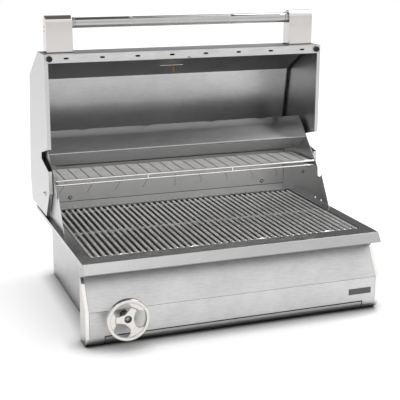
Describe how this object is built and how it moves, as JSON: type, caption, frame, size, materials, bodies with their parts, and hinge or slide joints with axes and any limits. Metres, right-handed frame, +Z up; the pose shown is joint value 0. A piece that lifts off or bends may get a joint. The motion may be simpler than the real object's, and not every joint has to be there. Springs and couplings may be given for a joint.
{
  "type": "charcoal grill head",
  "caption": "Built-in stainless charcoal grill head with folded double-wall hood, rod grates, warming rack, ash drawer and a hand wheel that raises the charcoal tray",
  "frame": {"origin": "centre of the footprint box on the surface that the grill stands on, with the hood drawn open", "axes": "+X to the right seen from the front, +Y to the back, +Z up"},
  "size_m": [0.929, 0.8014, 0.8715],
  "materials": {
    "brushed_stainless": "brushed",
    "matt_stainless": "satin",
    "polished_stainless": "polished",
    "heated_steel": "heat-tinted",
    "zinc_plated_steel": "zinc plated",
    "dark_steel": "blackened",
    "black_rubber": "moulded",
    "brass": "dull",
    "bearing_bronze": "machined"
  },
  "bodies": {
    "root": {"body_shell": "brushed_stainless", "firebox_liner": "heated_steel", "top_trim": "brushed_stainless", "console_panel": "brushed_stainless", "console_end_left": "polished_stainless", "console_end_right": "polished_stainless", "wing_left": "brushed_stainless", "wing_right": "brushed_stainless", "back_wall": "brushed_stainless", "heat_shield": "brushed_stainless", "rack_rest_left": "brushed_stainless", "rack_rest_right": "brushed_stainless", "tray_guide_left": "heated_steel", "tray_guide_right": "heated_steel", "shaft_bracket_left": "zinc_plated_steel", "shaft_bracket_right": "zinc_plated_steel", "worm_bearing": "dark_steel", "wheel_bushing": "bearing_bronze", "hinge_bolt_left": "polished_stainless", "hinge_bolt_right": "polished_stainless", "hinge_spacer_left": "zinc_plated_steel", "hinge_spacer_right": "zinc_plated_steel", "hinge_nut_left": "polished_stainless", "hinge_nut_right": "polished_stainless", "drawer_runner_left": "zinc_plated_steel", "drawer_runner_right": "zinc_plated_steel"},
    "hood": {"hood_skin": "brushed_stainless", "hood_liner": "heated_steel", "hood_side_left": "brushed_stainless", "hood_side_right": "brushed_stainless", "bumper_left": "black_rubber", "bumper_right": "black_rubber", "handle_tube": "brushed_stainless", "handle_post_left": "brushed_stainless", "handle_post_right": "brushed_stainless", "handle_collar_left": "dark_steel", "handle_collar_right": "dark_steel", "thermometer_case": "polished_stainless", "thermometer_probe": "brass", "probe_guard": "matt_stainless"},
    "wheel": {"hand_wheel": "polished_stainless", "wheel_screw": "dark_steel", "wheel_shaft": "zinc_plated_steel"},
    "lift": {"lift_shaft": "zinc_plated_steel", "worm_gear": "bearing_bronze", "lift_arm_left": "zinc_plated_steel", "lift_arm_right": "zinc_plated_steel"},
    "tray": {"charcoal_tray": "heated_steel", "charcoal_grate": "heated_steel"},
    "drawer": {"ash_pan": "matt_stainless", "drawer_front": "brushed_stainless"},
    "rack": {"warming_rack": "matt_stainless"},
    "grate_1": {"cooking_grate_1": "matt_stainless"},
    "grate_2": {"cooking_grate_2": "matt_stainless"},
    "grate_3": {"cooking_grate_3": "matt_stainless"},
    "grate_4": {"cooking_grate_4": "matt_stainless"}
  },
  "joints": [
    {"name": "hood_hinge", "type": "hinge", "parent": "root", "child": "hood", "pos_m": [0, 0.15971, 0.319], "axis": [-1, 0, 0], "range_deg": [-90, 0]},
    {"name": "wheel_turn", "type": "hinge", "parent": "root", "child": "wheel", "pos_m": [-0.348, -0.34816, 0.09087], "axis": [0, 1, 0.0095], "range_deg": [0, 624]},
    {"name": "lift_shaft_turn", "type": "hinge", "parent": "root", "child": "lift", "pos_m": [0, -0.23319, 0.07096], "axis": [1, 0, 0], "range_deg": [0, 20.9]},
    {"name": "tray_lift", "type": "slide", "parent": "root", "child": "tray", "axis": [0, 0, 1], "range_m": [0, 0.089]},
    {"name": "drawer_slide", "type": "slide", "parent": "root", "child": "drawer", "axis": [0, -1, 0], "range_m": [0, 0.42]},
    {"name": "rack_slide", "type": "slide", "parent": "root", "child": "rack", "axis": [0, -1, 0], "range_m": [0, 0.1]},
    {"name": "grate_1_lift", "type": "slide", "parent": "root", "child": "grate_1", "axis": [0, 0, 1], "range_m": [0, 0.06]},
    {"name": "grate_2_lift", "type": "slide", "parent": "root", "child": "grate_2", "axis": [0, 0, 1], "range_m": [0, 0.06]},
    {"name": "grate_3_lift", "type": "slide", "parent": "root", "child": "grate_3", "axis": [0, 0, 1], "range_m": [0, 0.06]},
    {"name": "grate_4_lift", "type": "slide", "parent": "root", "child": "grate_4", "axis": [0, 0, 1], "range_m": [0, 0.06]}
  ],
  "couplings": [
    {"joint": "lift_shaft_turn", "follows": "wheel_turn", "ratio": 0.033333},
    {"joint": "tray_lift", "follows": "wheel_turn", "m_per_rad": 0.0081464}
  ]
}
